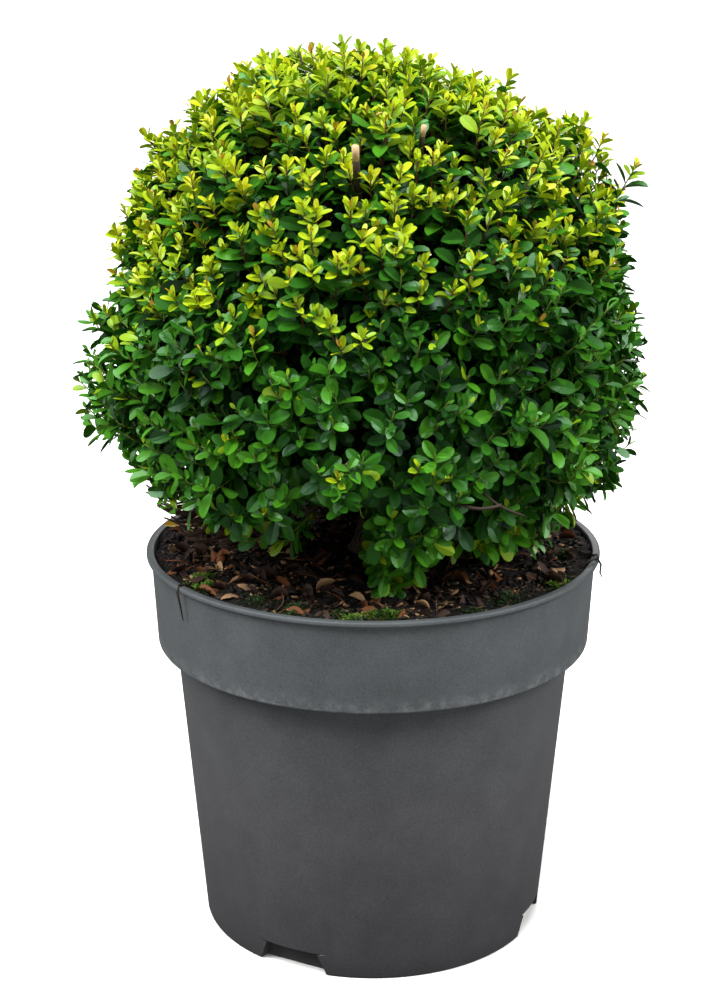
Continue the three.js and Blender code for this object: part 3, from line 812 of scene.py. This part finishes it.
# Growth: limbs, branchlets and shoots, each on a golden-angle lattice over the crown. A child's root lies
# lower than its tip by the lift, and it leaves its parent at the nearest point to that root.

growth = {
    "seed": 7, "lowestPolar": 147, "lowestRoot": 160, "jitter": 150,
    "limbs": {"count": 90, "tip": 0.56, "root": 0.30, "lift": 10, "radii": (0.0021, 0.0013),
              "sides": 6, "rings": 9},
    "branchlets": {"count": 760, "tip": 0.76, "root": 0.52, "lift": 8, "radii": (0.0012, 0.0008),
                   "sides": 5, "rings": 7},
    "shoots": {"count": 2500, "tip": 0.94, "root": 0.67, "lift": 6, "radii": (0.0007, 0.00035),
               "sides": 4, "rings": 8},
    # how far a stem strays from its way, and how long it keeps its way at its root and its tip
    "wander": 0.14, "leave": 0.35, "arrive": 0.4,
    # shoots turn up towards the light on the dome, and out or down round its foot, by polar angle
    "upturn": ([0, 40, 90, 115, 150], [0, 0.9, 1.6, 1.4, 0.5]),
    "clump": 0.08, "clumpMm": 42, "uneven": 0.06,
    # dark gaps between the shoots of the front, as (polar, azimuth, spread), and elsewhere by a noise
    "pockets": [(28, 30, 4), (33, 34, 3), (34, -35, 4), (40, 47, 3), (41, -8, 4), (45, 69, 4), (47, 46, 3),
                (49, 16, 5), (51, -9, 3), (57, 44, 3), (59, 27, 3), (65, -3, 3), (65, 52, 3), (69, -16, 5),
                (71, 19, 4), (79, -29, 4), (81, 40, 4), (91, 6, 5), (96, -15, 5), (104, 24, 5)],
    "front": 100, "pocketMm": 44, "pocket": -0.42,
    # where the clipped outline bulges, as (polar, azimuth, spread, more of the share)
    "bulges": [(20, -50, 22, 0.05), (10, -60, 12, 0.04), (24, 70, 14, -0.04), (42, 86, 16, 0.06),
               (53, 88, 8, 0.03), (14, 165, 12, -0.05), (25, 115, 9, -0.08), (31, -108, 6, -0.03),
               (61, -90, 9, -0.06), (68, 90, 8, -0.03), (73, -88, 8, 0.07), (90, -86, 8, 0.07),
               (84, 90, 18, 0.03), (101, -88, 9, -0.07), (115, -72, 9, -0.05), (114, 88, 10, 0.05),
               (122, 90, 8, -0.05)],
    # open at the front between the low sprigs, as ranges of polar angle and azimuth
    "hollows": [((116, 180), (-42, -2)), ((105, 180), (-17, 1)), ((108, 180), (22, 33))],
    # fewer and wider spaced below, as polar angles and the share that is kept
    "kept": ([30, 55, 92], [1, 0.78, 0.5]),
    # long shoots past the outline, as (polar, azimuth, share at the tip of the leaves)
    "strays": [(8, -40, 0.98), (42, -92, 1.03), (39, 88, 1.09), (52, 84, 1.02), (60, 165, 1.03),
               (80, 200, 1.04), (51, 90, 1.14), (51, 82, 1.03), (42, -90, 1.07), (99, -91, 1.10),
               (84, -88, 1.06), (88, -82, 1.07), (91, -90, 1.10), (95, -84, 1.07), (111, -84, 1.00),
               (112, -91, 0.99), (134, 4, 1.10), (137, 6, 1.14), (134, 9, 1.16), (138, 13, 1.14),
               (132, 18, 1.06), (141, 9, 1.12), (130, 6, 1.08), (138, 18, 1.10), (124, 82, 1.06),
               (127, 76, 1.10), (129, 70, 1.08), (16.5, -149, 1.03), (15, -168, 0.99), (18.4, -135, 1.03),
               (26.5, -113, 1.03), (15.4, 164, 0.95), (21, 130, 1.00), (27.2, 112, 1.04)],
    "leafReach": 0.04,
    # where the twigs are cut and bear no leaves, low at the left, as ranges of polar angle and azimuth,
    # and a single bare twig at the top, given as the strays are
    "cut": [((113, 150), (-120, -50))], "bare": [(12, -75, 1.04)], "bareThicker": 1.7, "bareLonger": 1.07,
}


def clumpNoise(points, scaleMm, seed):
    return np.array([noise.noise(Vector(p) * (1000 / scaleMm) + Vector((seed, seed, seed))) for p in points])


def latticeTips(random, count):
    i = np.arange(count)
    lowest = math.cos(math.radians(growth["lowestPolar"]))
    jitter = growth["jitter"] / math.sqrt(count)
    polar = np.degrees(np.arccos(1 + (lowest - 1) * (i + 0.5) / count))
    polar = polar + jitter * (random.random(count) - 0.5)
    azimuth = (i * goldenAngle + jitter * (random.random(count) - 0.5) + 180) % 360 - 180
    return np.abs(polar), azimuth


def bulging(polar, azimuth):
    ways = direction(polar, azimuth)
    more = np.zeros(len(polar))
    for p, a, spread, share in growth["bulges"]:
        off = np.degrees(np.arccos(np.clip(ways @ direction(p, a), -1, 1)))
        more += share * np.exp(-(off / spread) ** 2)
    return more


def tipDirections(polar, azimuth):
    lift = np.interp(polar, *growth["upturn"])
    return unit(direction(polar, azimuth) + lift[:, None] * np.array([0, 0, 1]))


def within(zones, polar, azimuth):
    inside = np.zeros(np.shape(polar), bool)
    for (topmost, lowest), (leftmost, rightmost) in zones:
        inside |= (polar > topmost) & (polar < lowest) & (azimuth > leftmost) & (azimuth < rightmost)
    return inside


def inPocket(polar, azimuth, places):
    ways = direction(polar, azimuth)
    empty = clumpNoise(places, growth["pocketMm"], 17) < growth["pocket"]
    empty &= np.abs(azimuth) > growth["front"]
    for p, a, spread in growth["pockets"]:
        empty |= ways @ direction(p, a) > math.cos(math.radians(spread))
    return empty


def shootTips(random, level):
    polar, azimuth = latticeTips(random, level["count"])
    places = crownPoint(polar, azimuth, np.full(len(polar), level["tip"]))
    share = (level["tip"] + growth["clump"] * clumpNoise(places, growth["clumpMm"], 3)
             + growth["uneven"] * (random.random(len(polar)) - 0.5) + bulging(polar, azimuth))
    keep = ~within(growth["hollows"], polar, azimuth)
    keep &= ~inPocket(polar, azimuth, places)
    keep &= random.random(len(polar)) < np.interp(polar, *growth["kept"])
    keep |= within(growth["cut"], polar, azimuth) & (np.arange(len(polar)) % 3 > 0)  # two of three cut twigs
    extra = np.array(growth["strays"] + growth["bare"]).T
    extra[2] -= growth["leafReach"]
    polar, azimuth, share = np.concatenate([extra, np.stack([polar, azimuth, share])[:, keep]], axis=1)
    bare = within(growth["cut"], polar, azimuth)
    share[bare] *= growth["bareLonger"]
    bare[len(growth["strays"]):extra.shape[1]] = True
    return polar, azimuth, share, bare


def growLevel(random, level, polar, azimuth, share, parentPoints, parentTangents):
    tips = crownPoint(polar, azimuth, share)
    ideal = crownPoint(np.minimum(polar + level["lift"], growth["lowestRoot"]), azimuth,
                       np.full(len(polar), level["root"]))
    nearest = np.argmin(np.linalg.norm(ideal[:, None] - parentPoints[None], axis=2), axis=1)
    starts, leaving = parentPoints[nearest], parentTangents[nearest]
    chord = np.linalg.norm(tips - starts, axis=1)[:, None]
    wander = random.normal(0, growth["wander"], tips.shape)
    leave = starts + unit(leaving + unit(tips - starts) + wander) * chord * growth["leave"]
    arrive = tips - unit(tipDirections(polar, azimuth) + wander) * chord * growth["arrive"]
    corners = [starts, leave, arrive, tips]
    points = bezier(corners, np.tile(np.linspace(0, 1, level["rings"]), (len(tips), 1)))
    return {"corners": corners, "paths": points, "ways": unit(np.gradient(points, axis=1))}


def growCrown():
    random = np.random.default_rng(growth["seed"])
    t, ends = np.linspace(0, 1, 5), slice(-12, None, 3)  # limbs grow on the stems and on the boughs' ends
    points = np.concatenate([tip + along * length * t[:, None] for tip, along, length, _ in stems]
                            + [path[ends] for *_, path in stems])
    tangents = np.concatenate([np.repeat(along[None], len(t), axis=0) for _, along, _, _ in stems]
                              + [unit(np.gradient(path, axis=0))[ends] for *_, path in stems])
    grown = {}
    for name in ("limbs", "branchlets", "shoots"):
        level = growth[name]
        if name == "shoots":
            polar, azimuth, share, bare = shootTips(random, level)
        else:
            polar, azimuth = latticeTips(random, level["count"])
            share, bare = np.full(len(polar), level["tip"]), np.zeros(len(polar), bool)
        grown[name] = growLevel(random, level, polar, azimuth, share, points, tangents)
        grown[name]["bare"] = bare
        points = grown[name]["paths"][:, 1:].reshape(-1, 3)
        tangents = grown[name]["ways"][:, 1:].reshape(-1, 3)
        print(name, len(polar))
    return grown


grown = growCrown()


# Young growth covers the dome's upper part in patches, and single late shoots stand lower

youth = {"from": 0.362, "full": 0.476, "rightward": 0.28, "rightMost": 0.10, "most": 0.92, "patchMm": 36,
         "patchy": 0.4, "patchyBelow": 0.22, "uneven": 0.12, "half": 0.4, "contrast": 2,
         "late": 0.05, "lateLevel": 0.45}


def shootYouth():
    random = np.random.default_rng(growth["seed"] + 1)
    tips = grown["shoots"]["corners"][3]
    sloped = tips[:, 2] - youth["rightward"] * np.clip(tips[:, 0], 0, youth["rightMost"])
    height = np.clip((sloped - youth["from"]) / (youth["full"] - youth["from"]), 0, 1)
    patches = clumpNoise(tips, youth["patchMm"], 9)
    level = height * height * (3 - 2 * height) * (youth["most"] + youth["patchy"] * patches)
    level += youth["patchyBelow"] * patches
    level += random.normal(0, youth["uneven"], len(tips))
    late = (random.random(len(tips)) < youth["late"]) & (level < youth["half"])
    level = np.where(late, youth["lateLevel"], level)
    return np.clip((level - youth["half"]) * youth["contrast"] + 0.5, 0, 1)


grown["shoots"]["youth"] = shootYouth()


# Stems of the growth: woody inside, green where a shoot is mature and reddish brown where it is young

stemShades = {"woody": "#43352a", "green": "#66762b", "russet": "#5f3a22", "bare": "#3d2a1c"}
russetFrom = 0.4


def makeStems():
    bare = grown["shoots"]["bare"]
    young = (grown["shoots"]["youth"] > russetFrom) & ~bare
    every = slice(None)
    sets = [("limbs", "woody", every), ("branchlets", "woody", every),
            ("shoots", "green", ~young & ~bare), ("shoots", "russet", young), ("shoots", "bare", bare)]
    materials = {shade: newMaterial(f"holly twig, {shade}", code, 0.6, 1.45)[0]
                 for shade, code in stemShades.items()}
    masses = [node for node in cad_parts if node.startswith("foliage_")]
    for name, shade, own in sets:
        paths = grown[name]["paths"][own]
        thicker = np.where(grown[name]["bare"][own], growth["bareThicker"], 1)
        radii = thicker[:, None] * np.linspace(*growth[name]["radii"], paths.shape[1])
        arrays = tubeArrays(paths, radii, growth[name]["sides"])
        dressedArrays(f"{name}_{shade}", arrays, materials[shade])
    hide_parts(*masses)
    print("stems of the growth")


makeStems()


# Two stubs where thick twigs were cut, near the top at the front, and three thin bare twigs low at the
# front. Each leaves the branchlet that is nearest to its foot.
stubs = [
    {"foot": (-0.008, -0.090, 0.462), "tip": (-0.010, -0.111, 0.504), "radius": 0.0020, "cut": True},
    {"foot": (0.024, -0.080, 0.482), "tip": (0.027, -0.096, 0.513), "radius": 0.0014, "cut": True},
    {"foot": (0.047, -0.152, 0.308), "tip": (0.070, -0.148, 0.315), "radius": 0.0009, "cut": False},
    {"foot": (0.064, -0.148, 0.314), "tip": (0.083, -0.136, 0.305), "radius": 0.0007, "cut": False},
    {"foot": (-0.028, -0.152, 0.325), "tip": (-0.0125, -0.157, 0.342), "radius": 0.0010, "cut": False},
]
stubForm = {"sides": 12, "rings": 16, "relief": 0.12, "taper": (0.7, 0.3)}
stubShades = {"bark": "#2f2116", "cut": "#c4a47c"}  # dark thin bark, and dry pale wood where it is cut


def makeStubs():
    sides, ends = [], []
    bearing = grown["branchlets"]["paths"].reshape(-1, 3)
    t = np.linspace(0, 1, stubForm["rings"])
    least, more = stubForm["taper"]
    for stub in stubs:
        foot, tip = np.array(stub["foot"]), np.array(stub["tip"])
        start = bearing[np.argmin(np.linalg.norm(bearing - foot, axis=1))]
        path = bezier([corner[None] for corner in (start, (start + foot) / 2, foot, tip)], t[None])[0]
        radii = stub["radius"] * (least + more * np.minimum(1, 2 * t))
        relief = stub["radius"] * stubForm["relief"]
        barked = len(t) - 1 if stub["cut"] else len(t)
        sides.append(relieved(path[:barked], radii[:barked], stubForm["sides"], relief))
        if stub["cut"]:
            ends.append(relieved(path[-2:], radii[-2:], stubForm["sides"], relief))
    for name, parts in (("bark", sides), ("cut", ends)):
        material = newMaterial(f"stub {name}", stubShades[name], 0.75, 1.45)[0]
        dressedArrays(f"stub_{name}", joinedArrays(parts), material)
    print("stubs and bare twigs")


makeStubs()


# Leaves: blades set by golden-angle turns along each bearer. A young shoot ends in a tuft of small pale
# leaves, and those behind it are full grown.

leaves = {
    "seed": 11, "perPiece": 9000, "blade": ((0.14, 0.36, 0.60, 0.82, 0.955), 0.60, 2.2),
    "count": {"shoots": 19, "branchlets": 9, "limbs": 6}, "tuft": 8, "ripening": 2.5,
    # along the bearer
    "spacing": (0.0010, 0.0027), "inner": 1.5, "firstGap": 0.8, "span": (0.1, 0.99),
    # in degrees, and how the leaves open from the bud and turn to the light
    "turnOff": 12, "splay": 62, "splayOff": 9, "roll": 24,
    "opening": (0.6, 2, 2.6), "light": 0.26, "youngLight": 0.4, "lightOutward": 0.7,
    "length": (0.0105, 0.0180), "youngLength": (0.0080, 0.0110), "unripe": (0.6, 0.4),
    "swelling": (0.9, 1.8), "widthRatio": (0.43, 0.53), "youngNarrower": 0.04,
    "cup": (0.17, 0.14), "curl": (0.10, 0.09), "lowest": 0.2435, "deep": 0.62,
}
# The shade of a leaf follows from its spray and its place, in steps along the list of shades. Full-grown
# leaves are paler at a shoot's tip and up the dome. Painted light makes them paler to the left and at the
# sides, and lifts low ones up to the ripest. Painted shade deepens them near the middle and deep inside.
leafTones = {
    "base": 2.4, "tip": (1.4, 1.5), "spray": 0.55, "uneven": 0.4,
    # painted shade: the leaves of branchlets and limbs deep inside are dealt deeper shades
    "paintedShadeInside": {"shoots": 0, "branchlets": 1.7, "limbs": 2.5},
    # painted light, paler to the left and at the sides, and painted shade near the middle
    "upper": 3.0, "upperFrom": 0.485, "paintedLeftLight": 1.2, "sides": 3.6, "paintedSideLightFrom": 0.06,
    # painted light: low leaves are lifted to paler shades
    "low": 1.6, "paintedLowLightFrom": 0.300, "paintedLowLightOver": 0.03, "ripest": 3.55,
    "young": 6.0, "youngFade": 0.13, "youngSpray": 0.8, "unripe": 1.2, "buds": (0.3, 0.5, 0.3),
}
leafShades = {
    "deep": "#081b07", "dark": "#14360d", "mature": "#265911", "mid": "#3f7b17",
    "fresh": "#80a018", "lime": "#a2b816", "gold": "#b8be1e", "bronze": "#a8822a",
}
# Holly leaf: leathery, with a waxy skin that gives it a soft greenish gloss.
leafFinish = {"roughness": 0.32, "ior": 1.46, "specular": 0.56, "tint": "#b9e3c3"}


# A leaf turns its face to the light, outwards and up
def facingLight(along, face, outward, amount):
    sun = unit(leaves["lightOutward"] * outward + np.array([0, 0, 1]))
    face = unit(face + amount[..., None] * sun)
    return unit(along - face * np.sum(along * face, axis=-1, keepdims=True)), face


def dealtShades(random, name, order, young, aged, roots):
    look = leafTones
    x, z = roots[..., 0], roots[..., 2]
    spray = random.normal(0, look["spray"], (len(young), 1))
    upper = look["upper"] * np.clip((z - look["upperFrom"]) / (crownTop - look["upperFrom"]), 0, 1)
    more, fading = look["tip"]
    # painted shade: leaves on the inner bearers are dealt deeper shades
    tone = look["base"] + more * np.exp(-order / fading) - look["paintedShadeInside"][name] + spray + upper
    # painted light to the left and at the sides, painted shade near the middle
    tone = tone - look["paintedLeftLight"] * x + look["sides"] * (np.abs(x) - look["paintedSideLightFrom"])
    # painted light: low leaves are lifted to paler shades, up to the ripest
    lift = look["low"] * np.clip((look["paintedLowLightFrom"] - z) / look["paintedLowLightOver"], 0, 1)
    tone = np.minimum(tone + lift, look["ripest"] + upper)
    youngTone = look["young"] - look["youngFade"] * order + look["youngSpray"] * spray
    youngTone = youngTone - look["unripe"] * (1 - young)
    tone = aged * tone + (1 - aged) * youngTone + random.normal(0, look["uneven"], aged.shape)
    shade = np.clip(np.floor(tone), 0, len(leafShades) - 2).astype(int)
    youngest, share, fewer = look["buds"]
    buds = (aged < youngest) & (random.random(aged.shape) < share - fewer * order)
    shade[buds] = len(leafShades) - 1
    return shade


def bearerLeaves(random, name):
    look, bearer = leaves, grown[name]
    corners, number = bearer["corners"], len(bearer["paths"])
    young = bearer.get("youth", np.zeros(number))[:, None]
    order = np.arange(look["count"][name])[None, :]
    shape = (number, order.size)
    length = np.linalg.norm(np.diff(bearer["paths"], axis=1), axis=2).sum(axis=1)[:, None]
    aged = np.clip((order - look["tuft"] * young) / look["ripening"] + 1 - young, 0, 1)
    tight, wide = look["spacing"]
    steps = (tight + (wide - tight) * aged) * (1 if name == "shoots" else look["inner"])
    t = 1 - (np.cumsum(steps, axis=1) - look["firstGap"] * tight) / length
    lowest, highest = look["span"]
    placed = (t > lowest) & ~bearer["bare"][:, None]
    t = np.clip(t, lowest, highest)
    roots = bezier(corners, t)
    step = 0.005
    axes = unit(bezier(corners, t + step) - bezier(corners, t - step))
    turn = random.uniform(0, 360, (number, 1)) + order * goldenAngle
    turn = np.radians(turn + random.normal(0, look["turnOff"], shape))[..., None]
    across = squareTo(axes)
    outward = np.cos(turn) * across + np.sin(turn) * np.cross(axes, across)
    first, soon, later = look["opening"]
    opened = 1 - np.exp(-(order + first) / (soon + later * young))
    splay = np.radians(look["splay"] * opened + random.normal(0, look["splayOff"], shape))[..., None]
    along = axes * np.cos(splay) + outward * np.sin(splay)
    face = axes * np.sin(splay) - outward * np.cos(splay)
    roll = np.radians(random.normal(0, look["roll"], shape))[..., None]
    face = face * np.cos(roll) + np.cross(along, face) * np.sin(roll)
    light = look["light"] * opened * (1 - look["youngLight"] * young)
    along, face = facingLight(along, face, unit(roots - crownCentre), light)
    least, more = look["unripe"]
    youngSize = random.uniform(*look["youngLength"], shape) * (least + more * young)
    size = youngSize * (1 - aged) + random.uniform(*look["length"], shape) * aged
    first, slow = look["swelling"]
    size = size * (1 - np.exp(-(order + first) / slow))
    width = size * (random.uniform(*look["widthRatio"], shape) - look["youngNarrower"] * (1 - aged))
    shade = dealtShades(random, name, order, young, aged, roots)
    placed &= (roots + along * size[..., None])[..., 2] > look["lowest"]
    # none stand in the hollows or among the cut twigs, but deep inside they stay, so no light comes through
    middles = roots + along * size[..., None] / 2
    polar, azimuth = crownAngles(middles)
    outer = np.linalg.norm(middles - crownCentre, axis=-1) > look["deep"] * reach(polar)
    placed &= ~(outer & within(growth["cut"] + growth["hollows"], polar, azimuth))
    return [rows[placed] for rows in (roots, along, face, size, width, shade)]


def makeLeaves():
    random = np.random.default_rng(leaves["seed"])
    sets = [bearerLeaves(random, name) for name in leaves["count"]]
    roots, along, face, size, width, shade = (np.concatenate(rows) for rows in zip(*sets))
    cups, curls = random.normal(*leaves["cup"], len(size)), random.normal(*leaves["curl"], len(size))
    blade = bladeTemplate(*leaves["blade"])
    look = leafFinish
    gloss = {"Specular IOR Level": look["specular"], "Specular Tint": hexColour(look["tint"])}
    for i, (name, code) in enumerate(leafShades.items()):
        material = newMaterial(f"holly leaf, {name}", code, look["roughness"], look["ior"], **gloss)[0]
        own = np.flatnonzero(shade == i)
        pieces = max(1, math.ceil(len(own) / leaves["perPiece"]))
        for part, some in enumerate(np.array_split(own, pieces)):
            arrays = scatteredArrays(blade, roots[some], along[some], face[some],
                                     (size[some], width[some]), (cups[some], curls[some]))
            mesh = dressedArrays(f"leaves_{name}_{part + 1}", arrays, material)
            creaseMidribs(mesh, blade)
        print("leaves", name, len(own))
    print("leaves in all", len(size))


makeLeaves()


# Stage: a pale floor and soft studio light

stage = {"floor": "#f6f6f4", "floorRadius": 14, "floorSides": 96, "aim": (0, 0, 0.3), "world": 0.23}
sun = {"strength": 4.9, "angle": 45, "tilt": (16, -9)}
lamps = [
    {"name": "left_softbox", "at": (-1.9, -0.6, 1.7), "size": 1.2, "watts": 47},
    {"name": "right_softbox", "at": (1.9, -0.6, 1.7), "size": 1.2, "watts": 51},
    {"name": "front_softbox", "at": (0.9, -2.4, 0.7), "size": 1.4, "watts": 10},
    {"name": "back_softbox", "at": (0.3, 2.3, 1.5), "size": 1.4, "watts": 24},
]


def makeStage():
    shape = bmesh.new()
    bmesh.ops.create_circle(shape, cap_ends=True, segments=stage["floorSides"], radius=stage["floorRadius"])
    mesh = meshFromShape("studio_floor", shape)
    floor = bpy.data.objects.new("studio_floor", mesh)
    scene.collection.objects.link(floor)
    mesh.materials.append(newMaterial("pale painted floor", stage["floor"], 0.7, 1.45)[0])
    floor.visible_diffuse = floor.visible_glossy = False  # keeps the crown's underside dark
    for lamp in lamps:
        data = bpy.data.lights.new(lamp["name"], "AREA")
        data.shape, data.size, data.energy = "DISK", lamp["size"], lamp["watts"]
        light = bpy.data.objects.new(lamp["name"], data)
        light.location = lamp["at"]
        light.rotation_euler = (Vector(stage["aim"]) - light.location).to_track_quat("-Z", "Y").to_euler()
        scene.collection.objects.link(light)
    data = bpy.data.lights.new("sky_panel", "SUN")
    data.energy, data.angle = sun["strength"], math.radians(sun["angle"])
    light = bpy.data.objects.new("sky_panel", data)
    light.rotation_euler = [math.radians(turn) for turn in (*sun["tilt"], 0)]
    scene.collection.objects.link(light)
    world = bpy.data.worlds.new("studio_air")
    world.use_nodes = True
    tree = world.node_tree
    seen = addNode(tree, "LightPath", {}).outputs["Is Camera Ray"]  # white where it is seen, dim as light
    strength = addNode(tree, "MapRange", {"Value": seen, "To Min": stage["world"], "To Max": 1.0})
    setInputs(tree, tree.nodes["Background"], {"Color": (1, 1, 1, 1), "Strength": strength})
    scene.world = world
    scene.view_settings.view_transform = "Standard"
    print("stage set")


makeStage()

bpy.context.view_layer.update()
